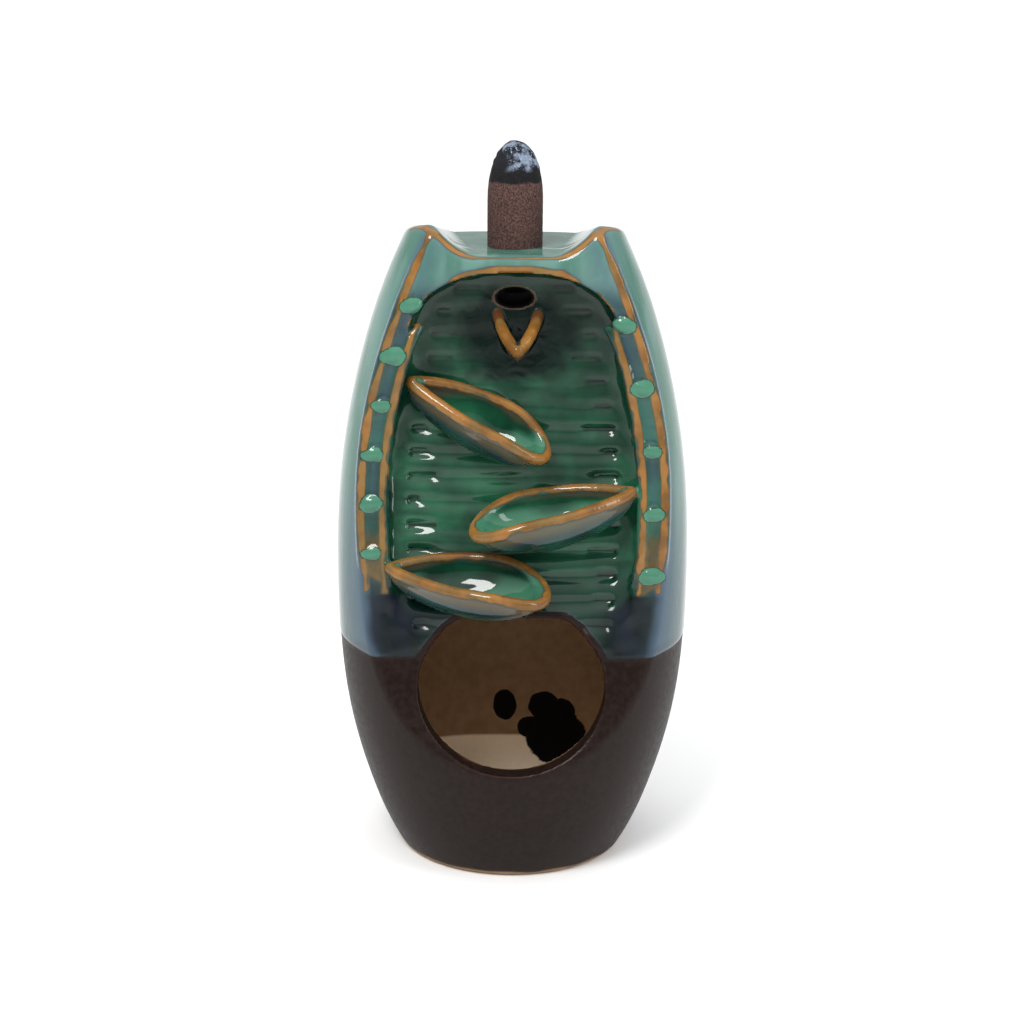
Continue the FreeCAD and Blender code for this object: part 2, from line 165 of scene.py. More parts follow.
# On the barrel's wall, and where it runs blue
WALL_GREENS = ((70, 111, 98), (91, 127, 117))
WALL_CLOUD = (92, 116, 132)
LOW_WALL_BLUE = (46, 70, 80)
FLOW_BLUE = (62, 80, 104)
UNDER_RIM_BLUE = (44, 62, 78)
DIP_EDGE_BLUE = (44, 56, 70)

# Where it breaks over beads and rims, from the haze beside them to the bare orange, and on the knots
BREAK_HAZE = (66, 88, 108)
BREAK_OLIVE = (72, 60, 30)
BREAK_ORANGES = ((106, 70, 26), (140, 96, 42))
STREAKED_OLIVE = (104, 90, 52)
PANEL_RUST = (84, 46, 28)
RIM_TAN = (108, 92, 66)
KNOT_EDGE = (26, 48, 36)
KNOT_GREENS = ((50, 102, 80), (70, 126, 102))

# Brown slip, bare clay with painted light on the chamber's floor, and soot
BROWN_SLIP = ((25, 16, 13), (33, 23, 20))
BROWN_EDGE = (40, 22, 16)
WALL_CLAY = ((142, 112, 82), (156, 126, 96))
LIT_FLOOR_CLAY = ((240, 218, 190), (250, 234, 210))
SOOT = (9, 7, 7)

# Incense: pressed powder, char and ash
POWDER = ((56, 39, 37), (86, 63, 58))
POWDER_SPECK = (36, 22, 22)
CHAR = ((12, 12, 14), (26, 26, 30))
ASH = ((20, 23, 30), (112, 124, 142))
ASH_SPECK = (150, 160, 176)
ASH_SHADE = (20, 22, 27)

# Dark glaze run down round the cup, and the stains in the chamber: middles and half sizes
CUP_DRIPS = ((0.8, -8.0, 130.5), (15.0, 14.0, 11.5))
STAINS = [
    ((-1.7, 23.0, 24.6), (3.1, 14.0, 4.0)),
    ((11.6, 20.0, 17.2), (8.0, 12.0, 7.2)),
    ((8.6, 23.0, 24.4), (4.2, 12.0, 3.8)),
    ((13.4, 23.0, 23.4), (3.4, 12.0, 3.2)),
    ((5.0, 22.0, 19.0), (3.4, 12.0, 2.8))]


def smoothstep(start, end, value):
    """0 at the start and before it, 1 at the end and past it, and smooth between."""
    share = np.clip((value - start) / (end - start), 0.0, 1.0)
    return share * share * (3.0 - 2.0 * share)


def bell(away, width):
    """1 on a line, fading with the distance from it."""
    return np.exp(-(away / width) ** 2)


def waves(points, lengths, seed):
    """Smooth wandering value from -1 to 1: a few crossing sine waves of given lengths."""
    chance = np.random.default_rng(seed)
    total = np.zeros(len(points))
    for length in lengths:
        for _ in range(3):
            way = chance.normal(size=3)
            way /= np.linalg.norm(way)
            total += np.sin(points @ way * (2 * math.pi / length) + chance.uniform(0, 2 * math.pi))
    return total / (3 * len(lengths))


# Camera and studio

def place_camera():
    """Camera at the photograph's place, with the small shift of its picture."""
    data = bpy.data.cameras.new("photo_camera")
    data.sensor_width = SENSOR_WIDTH
    data.lens = FOCAL_PIXELS * SENSOR_WIDTH / FRAME_PIXELS
    data.shift_x = -(CENTRE_PIXEL[0] - FRAME_PIXELS / 2) / FRAME_PIXELS
    data.shift_y = (CENTRE_PIXEL[1] - FRAME_PIXELS / 2) / FRAME_PIXELS
    camera = bpy.data.objects.new("photo_camera", data)
    camera.location = (0.0, -CAMERA_DISTANCE, CAMERA_HEIGHT)
    tilt = Euler((math.pi / 2 - CAMERA_TILT, 0.0, 0.0)).to_matrix()
    roll = Euler((0.0, 0.0, CAMERA_ROLL)).to_matrix()
    camera.rotation_euler = (tilt @ roll).to_euler()
    bpy.context.scene.collection.objects.link(camera)
    bpy.context.scene.camera = camera


def softbox(name, place, aim, size, power, light_colour):
    """Rectangular area light turned to a point."""
    data = bpy.data.lights.new(name, "AREA")
    data.shape = "RECTANGLE"
    data.size, data.size_y = size
    data.energy = power
    data.color = light_colour
    light = bpy.data.objects.new(name, data)
    light.location = place
    light.rotation_euler = (Vector(aim) - Vector(place)).to_track_quat("-Z", "Y").to_euler()
    bpy.context.scene.collection.objects.link(light)


def pale_room():
    """Pale room that is brightest overhead, with a light band along the horizon."""
    world = bpy.data.worlds.new("pale_room")
    world.use_nodes = True
    tree = world.node_tree
    way = tree.nodes.new("ShaderNodeTexCoord").outputs["Generated"]
    parts = tree.nodes.new("ShaderNodeSeparateXYZ")
    tree.links.new(way, parts.inputs[0])
    total = tree.nodes.new("ShaderNodeMath")
    for slot, (end, at_horizon, at_end) in enumerate(ROOM_RAMPS):
        ramp = tree.nodes.new("ShaderNodeMapRange")
        ramp.inputs["From Max"].default_value = end
        ramp.inputs["To Min"].default_value = at_horizon
        ramp.inputs["To Max"].default_value = at_end
        tree.links.new(parts.outputs["Z"], ramp.inputs["Value"])
        tree.links.new(ramp.outputs["Result"], total.inputs[slot])
    tree.links.new(total.outputs[0], tree.nodes["Background"].inputs["Strength"])
    tree.nodes["Background"].inputs["Color"].default_value = (1.0, 1.0, 1.0, 1.0)
    bpy.context.scene.world = world


def studio():
    """Pale floor, soft lights and the room round them."""
    bpy.ops.mesh.primitive_plane_add(size=FLOOR_SIZE, location=(0, 0, 0))
    floor = bpy.context.object
    floor.name = "studio_floor"
    material = bpy.data.materials.new("pale_floor")
    material.use_nodes = True
    shader = material.node_tree.nodes["Principled BSDF"]
    shader.inputs["Base Color"].default_value = FLOOR_COLOUR
    shader.inputs["Roughness"].default_value = FLOOR_ROUGHNESS
    floor.data.materials.append(material)
    for name, settings in SOFTBOXES.items():
        softbox(name, *settings)
    pale_room()
    bpy.context.scene.view_settings.view_transform = "Standard"


# Mesh work

def only(piece):
    """Deselects everything, then selects and activates one piece."""
    bpy.ops.object.select_all(action="DESELECT")
    piece.select_set(True)
    bpy.context.view_layer.objects.active = piece


def apply_modifier(piece, kind, **settings):
    """Adds a modifier with its settings and applies it."""
    only(piece)
    modifier = piece.modifiers.new(kind.lower(), kind)
    for key, value in settings.items():
        setattr(modifier, key, value)
    bpy.ops.object.modifier_apply(modifier=modifier.name)


def remeshed_copy(node, name, voxels, rounds):
    """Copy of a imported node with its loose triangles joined, remeshed and rounded a little."""
    piece = bpy.data.objects.new(name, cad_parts[node].data.copy())
    piece.data.name = name
    piece.data.materials.clear()
    bpy.context.scene.collection.objects.link(piece)
    only(piece)
    bpy.ops.object.mode_set(mode="EDIT")
    bpy.ops.mesh.select_all(action="SELECT")
    bpy.ops.mesh.remove_doubles(threshold=0.002 * MM)
    bpy.ops.object.mode_set(mode="OBJECT")
    voxel = voxels[0]
    apply_modifier(piece, "REMESH", mode="VOXEL", voxel_size=voxel, use_smooth_shade=True)
    apply_modifier(piece, "SMOOTH", factor=0.5, iterations=rounds)
    return piece


def read_points(mesh):
    """Places of the points, in millimetres."""
    flat = np.empty(len(mesh.vertices) * 3, np.float32)
    mesh.vertices.foreach_get("co", flat)
    return flat.reshape(-1, 3).astype(float) / MM


def write_points(mesh, points):
    """Moves the points to places in millimetres."""
    mesh.vertices.foreach_set("co", (points * MM).astype(np.float32).ravel())
    mesh.update()


def read_normals(mesh):
    """Outward direction at each point."""
    flat = np.empty(len(mesh.vertices) * 3, np.float32)
    mesh.vertices.foreach_get("normal", flat)
    return flat.reshape(-1, 3).astype(float)


def read_edges(mesh):
    """Pairs of neighbouring points."""
    flat = np.empty(len(mesh.edges) * 2, np.int32)
    mesh.edges.foreach_get("vertices", flat)
    return flat.reshape(-1, 2)


def relaxed(values, edges, rounds):
    """Values averaged over neighbouring points again and again."""
    count = len(values)
    degree = np.bincount(edges.ravel(), minlength=count).astype(float)
    out = values.copy()
    for _ in range(rounds):
        total = np.empty_like(out)
        for k in range(out.shape[1]):
            a = np.bincount(edges[:, 0], weights=out[edges[:, 1], k], minlength=count)
            b = np.bincount(edges[:, 1], weights=out[edges[:, 0], k], minlength=count)
            total[:, k] = (a + b) / degree
        out = 0.5 * out + 0.5 * total
    return out


def bulge(points, normals, edges, rounds):
    """How far each point stands out of its smoothed neighbourhood, in millimetres."""
    return ((points - relaxed(points, edges, rounds)) * normals).sum(1)


def grown_tree(points):
    """Search tree of points."""
    tree = KDTree(len(points))
    for index, point in enumerate(points):
        tree.insert(point, index)
    tree.balance()
    return tree


def store(mesh, covers):
    """Keeps named values on the mesh's points for the material."""
    for name, values in covers.items():
        attribute = mesh.attributes.new(name, "FLOAT", "POINT")
        attribute.data.foreach_set("value", values.astype(np.float32))


# Places on the fired piece, for points in millimetres

def half_width(z):
    """Half width of the barrel at heights."""
    low = np.clip((BELLY_HEIGHT - z) / BELLY_HEIGHT, 0.0, 1.0)
    high = np.clip((z - BELLY_HEIGHT) / (PLATFORM_HEIGHT - BELLY_HEIGHT), 0.0, 1.2)
    below = BELLY_HALF_WIDTH - (BELLY_HALF_WIDTH - FOOT_HALF_WIDTH) * low ** LOWER_SWELL
    above = BELLY_HALF_WIDTH - (BELLY_HALF_WIDTH - TOP_HALF_WIDTH) * high ** UPPER_SWELL
    return np.where(z < BELLY_HEIGHT, below, above)


def front_of(face, z):
    """Distance of a profile in front of the middle at given heights: a natural cubic spline."""
    heights, fronts = (np.array(values) for values in zip(*face))
    gaps = np.diff(heights)
    slopes = np.diff(fronts) / gaps
    count = len(heights)
    system = np.eye(count)
    right = np.zeros(count)
    for i in range(1, count - 1):
        system[i, i - 1:i + 2] = (gaps[i - 1], 2.0 * (gaps[i - 1] + gaps[i]), gaps[i])
        right[i] = 6.0 * (slopes[i] - slopes[i - 1])
    bend = np.linalg.solve(system, right)
    z = np.clip(z, heights[0], heights[-1])
    i = np.clip(np.searchsorted(heights, z) - 1, 0, count - 2)
    low = (heights[i + 1] - z) / gaps[i]
    high = 1.0 - low
    curve = ((low ** 3 - low) * bend[i] + (high ** 3 - high) * bend[i + 1]) * gaps[i] ** 2 / 6.0
    return low * fronts[i] + high * fronts[i + 1] + curve


def behind_face(face, points):
    """Distance behind the front face or the panel; less than 0 in front of it."""
    return points[:, 1] + front_of(face, points[:, 2])


def depth_in_barrel(points):
    """Distance below the barrel's outside, measured from its middle line outwards."""
    x, y, z = points.T
    across = half_width(z)
    back = y > 0
    depth = np.where(back, BACK_DEPTH_RATIO, FRONT_DEPTH_RATIO) * across
    power = np.where(back, BACK_SQUARENESS, 2.0)
    share = (np.abs(x / across) ** power + np.abs(y / depth) ** power) ** (1.0 / power)
    return (1.0 - share) * np.hypot(x, y) / np.maximum(share, 0.05)


def above_dip(points):
    """Height above the wavy line that the glaze was dipped to."""
    return points[:, 2] - (DIP_HEIGHT + DIP_WAVE * waves(points, (34.0, 17.0), 3))


def rail_half_width(z):
    """Half width of the outer edge of the rails at heights, where the front face cuts the barrel."""
    across = half_width(z)
    share = front_of(FRONT_FACE, z) / (FRONT_DEPTH_RATIO * across)
    return across * np.sqrt(np.clip(1.0 - share ** 2, 0.0, 1.0))


def rail_place(points):
    """Distance in from the rail's outer edge, and distance out of the front face."""
    inset = rail_half_width(points[:, 2]) - np.abs(points[:, 0])
    return inset, -behind_face(FRONT_FACE, points)


def top_height(points):
    """Height of the top over each place: the trough between the horns or the climbing rim, the lower one."""
    x, y, _ = points.T
    front, back = TROUGH_ENDS
    share = np.clip((y - front) / (back - front), 0.0, 1.0)
    flat = TROUGH_FLATS[0] + (TROUGH_FLATS[1] - TROUGH_FLATS[0]) * share
    flare = TROUGH_FLARES[0] + (TROUGH_FLARES[1] - TROUGH_FLARES[0]) * share
    trough = PLATFORM_HEIGHT + TROUGH_RISE * np.clip((np.abs(x) - flat) / flare, 0.0, 1.0) ** 2
    edge = BACK_DEPTH_RATIO * TOP_HALF_WIDTH
    rim = PLATFORM_HEIGHT + (edge - y) * HORN_RISE / (edge + HORN_SETBACK)
    return np.minimum(trough, rim)


def rim_line(tip, spout, front, back):
    """Points along the rim of a bowl, with the way up out of it."""
    tip, spout, front, back = (np.array(place) for place in (tip, spout, front, back))
    length = np.linalg.norm(spout - tip)
    along = (spout - tip) / length
    width = front - back
    up = np.cross(along, width)
    up /= np.linalg.norm(up) * np.sign(up[2])
    across = np.cross(up, along)
    middle = 0.5 * (tip + spout)
    breadth = 0.5 * abs(width @ across)
    bow = (0.5 * (front + back) - middle) @ across
    turn = np.linspace(0.0, 2.0 * math.pi, RIM_POINTS + 1)[:-1]
    share = 0.5 * (1.0 - np.cos(turn))
    widest = PETAL_POINT / (PETAL_POINT + 0.5)
    peak = widest ** PETAL_POINT * math.sqrt(1.0 - widest)
    leaf = share ** PETAL_POINT * np.sqrt(1.0 - share) / peak
    side = np.where(turn <= math.pi, 1.0, -1.0)
    inset = 0.5 * PETAL_WALL
    u = inset + (length - 2.0 * inset) * share - 0.5 * length
    v = bow * 4.0 * share * (1.0 - share) + side * (breadth - inset) * leaf
    run = np.clip((share - SPOUT_SHARE) / (1.0 - SPOUT_SHARE), 0.0, 1.0)
    w = -SPOUT_DROP * run * run * (3.0 - 2.0 * run)
    return middle + np.outer(u, along) + np.outer(v, across) + np.outer(w, up), up


def rim_place(points):
    """Distance from the nearest bowl's rim, and how far below that rim."""
    lines = [rim_line(*petal) for petal in PETALS]
    rim = np.concatenate([line for line, _ in lines])
    ups = np.concatenate([np.tile(up, (len(line), 1)) for line, up in lines])
    tree = grown_tree(rim)
    found = [tree.find(point)[1:] for point in points]
    nearest = np.array([index for index, _ in found])
    away = np.array([distance for _, distance in found])
    return away, ((rim[nearest] - points) * ups[nearest]).sum(1)


# What covers the fired piece: each is 1 where it lies and 0 elsewhere

def outlet_soot(points):
    """Inside the smoke bore and its oval outlet, which smoke has blackened."""
    x, y, z = points.T
    oval = np.hypot(x / OUTLET_HALF_WIDTH, (z - OUTLET_HEIGHT) / OUTLET_HALF_HEIGHT)
    outlet = smoothstep(1.16, 1.06, oval) * smoothstep(-9.0, -7.0, y) * (y < 4.0)
    bore = smoothstep(SMOKE_BORE_REACH + 0.1, SMOKE_BORE_REACH - 0.1, np.hypot(x, y))
    bore = bore * (z > OUTLET_HEIGHT) * (z < PLATFORM_HEIGHT - 0.6)
    return np.maximum(outlet, bore)


def bare_inside(points):
    """The walls of the unglazed chamber."""
    z = points[:, 2]
    rear = np.maximum(-front_of(FRONT_FACE, z), -front_of(PANEL_FACE, z))
    inside = smoothstep(3.9, 4.6, points[:, 1] - rear) * smoothstep(3.4, 4.2, depth_in_barrel(points))
    return inside * (z > FLOOR - 2.0) * (z < CHAMBER_TOP + 1.5)


def bare_foot(points):
    """The wiped ring that the burner stands on."""
    return smoothstep(1.6, 0.9, points[:, 2] + 0.3 * waves(points, (9.0,), 5))


def hole_rim(points):
    """The rounded rim of the front hole, where the brown shows all round."""
    x, y, z = points.T
    oval = np.hypot(x / HOLE_HALF_WIDTH, (z - HOLE_MIDDLE_HEIGHT) / HOLE_HALF_HEIGHT)
    away = np.maximum((oval - 1.0) * HOLE_HALF_HEIGHT, z - HOLE_TOP_HEIGHT)
    return smoothstep(1.9, 1.1, away + 0.25 * waves(points, (11.0, 6.0), 31)) * (y < 0)


def outer_wall(points):
    """The barrel's outside behind the front face, the platform and the lintel, where the glaze is paler."""
    wall = smoothstep(1.6, 0.5, depth_in_barrel(points))
    wall = wall * smoothstep(-0.6, 0.6, behind_face(FRONT_FACE, points))
    on_top = smoothstep(PLATFORM_HEIGHT - 1.0, PLATFORM_HEIGHT + 0.2, points[:, 2])
    return np.maximum(wall, np.maximum(0.8 * on_top, 0.95 * lintel_cover(points)))


def lintel_cover(points):
    """The front face over the arch."""
    behind = behind_face(FRONT_FACE, points)
    return smoothstep(2.6, 1.6, np.abs(behind)) * smoothstep(139.0, 145.0, points[:, 2])


def arch_edge(points):
    """The lower edge of the lintel and what lies round it, between the rails."""
    behind = behind_face(FRONT_FACE, points)
    inset, _ = rail_place(points)
    high = smoothstep(124.0, 130.0, points[:, 2])
    return smoothstep(5.0, 3.0, np.abs(behind)) * high * smoothstep(5.0, 7.0, inset)


def arch_line(points):
    """The line along the lower edge of the lintel."""
    x, _, z = points.T
    spring = rail_half_width(np.array([ARCH_SPRING_HEIGHT]))[0] - RAIL_WIDTH
    rise = np.maximum(z - ARCH_SPRING_HEIGHT, 0.0) / (ARCH_CROWN_HEIGHT - ARCH_SPRING_HEIGHT)
    arch = (np.abs(x / spring) ** ARCH_SQUARENESS + rise ** ARCH_SQUARENESS) ** (1.0 / ARCH_SQUARENESS)
    near = smoothstep(3.0, 1.6, np.abs(behind_face(FRONT_FACE, points)))
    return bell((arch - 1.03) * spring, 1.2) * near * (z > ARCH_SPRING_HEIGHT)


def crest_line(points):
    """The rounded edges of the top: the crest over the panel, the horns and the side rims."""
    below = top_height(points) - points[:, 2]
    behind = behind_face(FRONT_FACE, points)
    inside = depth_in_barrel(points)
    aside = smoothstep(6.0, 15.0, np.abs(points[:, 0]))
    front = bell(behind - below, 0.55 + 1.2 * aside) * smoothstep(3.2, 2.0, behind + below)
    front = front * (0.72 + 0.28 * aside)
    side = bell(inside - below, 0.9) * smoothstep(3.2, 2.0, inside + below)
    side = 0.8 * side * smoothstep(14.0, 4.0, points[:, 1])
    return np.maximum(front, side) * (np.abs(below) < 4.0)


def panel_cover(points):
    """The slatted panel."""
    near = smoothstep(2.6, 1.6, np.abs(behind_face(PANEL_FACE, points)))
    return near * (np.abs(points[:, 0]) < rail_half_width(points[:, 2]) - RAIL_WIDTH + 1.0)


def petal_cover(points):
    """The petal bowls, which stand in front of the panel between the rails."""
    z = points[:, 2]
    inset, _ = rail_place(points)
    ahead = -behind_face(PANEL_FACE, points)
    between = (z > PETAL_ZONE[0]) * (z < PETAL_ZONE[1]) * (ahead < 30.0)
    return smoothstep(2.0, 3.2, ahead) * smoothstep(6.2, 7.2, inset) * between


def rail_cover(points):
    """The two beads of each rail, and the flat between them near the foot."""
    inset, proud = rail_place(points)
    z = points[:, 2] + 0.5 * waves(points, (8.0,), 33)
    near = smoothstep(2.2, 1.2, np.abs(proud - 0.6))
    outer = bell(inset - 0.8, 0.92)
    inner = bell(inset - RAIL_WIDTH + 0.3, 0.8) * smoothstep(RAIL_INNER_TOP + 6.0, RAIL_INNER_TOP, z)
    flat = smoothstep(-0.2, 0.8, inset) * smoothstep(6.0, 5.2, inset) * smoothstep(100.0, 80.0, z) * 0.8
    above_foot = smoothstep(-0.2, 0.3, z - RAIL_FOOT_HEIGHT + 0.4)
    return np.maximum(np.maximum(outer, inner), flat) * near * above_foot


def knot_cover(points):
    """The leaf-shaped knots of the rails, fading over their edges."""
    cover = np.zeros(len(points))
    for side, (first, pitch, count) in ((-1, LEFT_KNOTS), (1, RIGHT_KNOTS)):
        for i in range(count):
            z = np.array([first + pitch * i])
            x = side * (rail_half_width(z)[0] - 0.5 * RAIL_WIDTH)
            centre = np.array([x, -front_of(FRONT_FACE, z)[0], z[0]])
            size = 0.5 * np.array(KNOT_SIZE) * (1.0 + 0.14 * math.sin(2.1 * i + side))
            away = np.linalg.norm((points - centre) / size, axis=1)
            uneven = away + 0.16 * waves(points, (3.6,), 50 + i)
            cover = np.maximum(cover, 1.0 - smoothstep(0.92, 1.14, uneven))
    return cover


def flank_blue(points):
    """The outer wall close beside the rails, where the glaze runs thick and blue."""
    inset, proud = rail_place(points)
    away = np.hypot(np.minimum(inset, 0.0), np.maximum(-proud, 0.0))
    width = 2.0 + 3.4 * smoothstep(112.0, 66.0, points[:, 2])
    return bell(away, width) * smoothstep(2.0, 0.4, depth_in_barrel(points)) * (proud < 0.4)


def valley_blue(points):
    """The valley between a rail's beads, and beside the horns, where thick glaze turns blue-grey."""
    inset, proud = rail_place(points)
    z = points[:, 2]
    valley = 0.55 * bell(inset - 3.1, 1.3) * smoothstep(84.0, 96.0, z)
    horn = 0.4 * bell(inset - 3.8, 1.8) * smoothstep(138.0, 146.0, z + 2.0 * waves(points, (14.0,), 45))
    return np.maximum(valley, horn) * smoothstep(2.4, 1.4, np.abs(proud))


def chin_cover(points):
    """The front face below the rails' feet, beside the hole, where glaze runs dark over brown."""
    inset, proud = rail_place(points)
    edge = inset + 1.2 * waves(points, (12.0, 7.0), 35)
    aside = smoothstep(-1.2, 2.6, edge) * smoothstep(17.0, 9.0, edge)
    below = smoothstep(RAIL_FOOT_HEIGHT + 0.2, RAIL_FOOT_HEIGHT - 0.8, points[:, 2])
    return smoothstep(1.4, 0.6, np.abs(proud)) * aside * below


def burner_covers(points, rise):
    """Everything that the finish follows, for points and how steeply they face up."""
    aside = np.abs(points[:, 0])
    soot = outlet_soot(points)
    arch = arch_line(points)
    petal = petal_cover(points)
    # the bowls' downward-facing hulls, on which the panel glaze also paints shade
    hull = petal * smoothstep(0.1, -0.3, rise)
    rim_away, rim_drop = rim_place(points)
    below_rim = smoothstep(1.2, 2.6, rim_drop) * smoothstep(6.0, 3.2, rim_drop) * smoothstep(7.0, 5.0, rim_away)
    arch_ends = arch * smoothstep(9.0, 15.0, aside) * 0.7
    edges = np.maximum(crest_line(points), bell(rim_away, 1.5))
    return {
        "bare": np.maximum(np.maximum(bare_inside(points), bare_foot(points)), soot),
        "soot": soot,
        "above_dip": np.minimum(above_dip(points), 3.0 - 6.0 * hole_rim(points)),
        "outside": outer_wall(points),
        "panel": panel_cover(points),
        "chin": chin_cover(points),
        "knot": knot_cover(points),
        "rail": rail_cover(points),
        "crest": np.maximum(edges, arch * smoothstep(17.0, 9.0, aside)),
        "blue": np.maximum(flank_blue(points), valley_blue(points)),
        # the bowls' upward-facing insides, on which the panel glaze paints light
        "bowl": petal * smoothstep(0.05, 0.4, rise),
        "hull": hull,
        "under_rim": np.maximum(hull * below_rim, arch_ends),
        "tan_fade": hull * bell(rim_drop - 1.0, 1.9) * smoothstep(5.0, 3.5, rim_away)}


# Materials

def colour(red, green, blue):
    """Colour given as it looks on a screen, 0 to 255, as the shader wants it."""
    def linear(value):
        share = value / 255.0
        return share / 12.92 if share <= 0.04045 else ((share + 0.055) / 1.055) ** 2.4
    return (linear(red), linear(green), linear(blue), 1.0)


class Nodes:
    """Short way to add and join the nodes of a material."""

    def __init__(self, name):
        self.material = bpy.data.materials.new(name)
        self.material.use_nodes = True
        self.tree = self.material.node_tree
        self.shader = self.tree.nodes["Principled BSDF"]

    def put(self, socket, value):
        """Links a socket to another, or sets it."""
        if isinstance(value, bpy.types.NodeSocket):
            self.tree.links.new(value, socket)
        else:
            socket.default_value = value

    def add(self, kind, inputs=(), **settings):
        made = self.tree.nodes.new(kind)
        for key, value in settings.items():
            setattr(made, key, value)
        for key, value in dict(inputs).items():
            self.put(made.inputs[key], value)
        return made

    def math(self, operation, a, b=0.0):
        return self.add("ShaderNodeMath", {0: a, 1: b}, operation=operation).outputs[0]

    def times(self, value, factor):
        return self.math("MULTIPLY", value, factor)

    def highest(self, *values):
        """The largest of several values."""
        top = values[0]
        for value in values[1:]:
            top = self.math("MAXIMUM", top, value)
        return top

    def swing(self, value, reach):
        """A noise from 0 to 1 turned into one that swings by a reach to both sides of 0."""
        return self.math("ADD", self.times(value, 2.0 * reach), -reach)

    def place(self):
        return self.add("ShaderNodeTexCoord").outputs["Object"]

    def height(self):
        """Height above the table in millimetres."""
        parts = self.add("ShaderNodeSeparateXYZ", {0: self.place()})
        return self.times(parts.outputs["Z"], 1.0 / MM)

    def away(self, centre, size):
        """Distance from a place, as a share of an oval's half sizes, all given in millimetres."""
        centre = [value * MM for value in centre]
        scale = [1.0 / (value * MM) for value in size]
        moved = self.add("ShaderNodeVectorMath", {0: self.place(), 1: centre}, operation="SUBTRACT")
        scaled = self.add("ShaderNodeVectorMath", {0: moved.outputs["Vector"], 1: scale}, operation="MULTIPLY")
        length = self.add("ShaderNodeVectorMath", {0: scaled.outputs["Vector"]}, operation="LENGTH")
        return length.outputs["Value"]

    def step(self, value, start, end):
        """0 at the start, 1 at the end and smooth between."""
        made = self.add("ShaderNodeMapRange", {"Value": value, "From Min": start, "From Max": end})
        made.interpolation_type = "SMOOTHSTEP"
        return made.outputs["Result"]

    def mix(self, factor, a, b):
        """Blend of two colours, each a socket or a screen colour."""
        made = self.add("ShaderNodeMix", data_type="RGBA")
        self.put(made.inputs["Factor"], factor)
        for slot, value in ((6, a), (7, b)):
            self.put(made.inputs[slot], colour(*value) if isinstance(value, tuple) else value)
        return made.outputs[2]

    def over(self, under, top, cover, strength=1.0):
        """Lays a colour over another where a cover is 1, at a strength."""
        return self.mix(self.times(cover, strength), under, top)

    def mix_value(self, factor, a, b):
        """Blend of two numbers."""
        made = self.add("ShaderNodeMix", data_type="FLOAT")
        self.put(made.inputs["Factor"], factor)
        self.put(made.inputs[2], a)
        self.put(made.inputs[3], b)
        return made.outputs[0]

    def attribute(self, name):
        return self.add("ShaderNodeAttribute", attribute_name=name).outputs["Fac"]

    def noise(self, scale, detail=3.0, stretch=(1, 1, 1), distortion=0.0):
        """Noise from 0 to 1 on the piece's own coordinates."""
        mapped = self.add("ShaderNodeMapping", {"Vector": self.place(), "Scale": stretch}).outputs["Vector"]
        settings = {"Vector": mapped, "Scale": scale, "Detail": detail, "Distortion": distortion}
        return self.add("ShaderNodeTexNoise", settings).outputs["Fac"]

    def bump(self, height, strength, distance, before=None):
        made = self.add("ShaderNodeBump", {"Height": height, "Strength": strength, "Distance": distance})
        if before is not None:
            self.put(made.inputs["Normal"], before)
        return made.outputs["Normal"]

    def finish(self, **sockets):
        """Sets the shader's sockets, named with _ for a space, and gives the material."""
        for name, value in sockets.items():
            self.put(self.shader.inputs[name.replace("_", " ")], value)
        return self.material


class GlazeNodes(Nodes):
    """The nodes of the fired piece, with the covers and the noises that its layers share."""

    def __init__(self, name):
        super().__init__(name)
        self.covers = {}
        self.level = self.height()
        self.clouds = self.noise(70.0, 3.0)
        self.streaks = self.noise(150.0, 2.0, (1.0, 1.0, 0.12), 0.6)
        self.strokes = self.noise(170.0, 3.0, (0.25, 0.6, 1.6), 0.4)
        self.fine = self.noise(700.0, 3.0)
        self.glazed = self.step(self.cover("above_dip"), -0.25, 0.35)
        self.drips = self.cup_drips()

    def cover(self, name):
        """A cover that the mesh carries."""
        if name not in self.covers:
            self.covers[name] = self.attribute(name)
        return self.covers[name]

    def cup_drips(self):
        """Dark glaze that has run down round the small cup."""
        away = self.math("ADD", self.away(*CUP_DRIPS), self.swing(self.noise(120.0, 2.0), 0.45))
        return self.times(self.step(away, 1.2, 0.75), 0.95)


def panel_glaze(n):
    """Deep green on the panel, paler in the bowls with painted light, darker on the hulls with painted shade,
    darkest low down with pooled glaze and painted shade, under the arch with painted shadow, and round the cup.
    """
    glaze = n.mix(n.step(n.clouds, 0.35, 0.68), *PANEL_GREENS)
    glaze = n.over(glaze, BRUSHED_GREEN, n.step(n.strokes, 0.45, 0.75), 0.6)
    # painted shadow under the lintel darkens the top of the panel
    glaze = n.over(glaze, ARCH_SHADOW_GREEN, n.step(n.level, 110.0, 136.0), 0.6)
    # darker low down: glaze pooled at the panel's foot, with painted shade under the lowest bowls
    glaze = n.over(glaze, LOW_POOL_AND_SHADE_GREEN, n.step(n.level, 86.0, 68.0), 0.75)
    # painted light on the upward-facing insides of the bowls
    glaze = n.over(glaze, n.mix(n.clouds, *LIT_BOWL_GREENS), n.cover("bowl"), 0.8)
    # painted shade on the downward-facing hulls of the bowls
    glaze = n.over(glaze, n.mix(n.step(n.clouds, 0.4, 0.6), *SHADED_HULL_GREENS), n.cover("hull"), 0.75)
    return n.over(glaze, DRIP_GREEN, n.drips)


def wall_glaze(n):
    """Pale streaky green on the barrel, clouded with blue and bluer lower down."""
    glaze = n.mix(n.step(n.streaks, 0.38, 0.66), *WALL_GREENS)
    glaze = n.over(glaze, WALL_CLOUD, n.step(n.clouds, 0.5, 0.72), 0.35)
    return n.over(glaze, LOW_WALL_BLUE, n.step(n.level, 110.0, 64.0), 0.8)


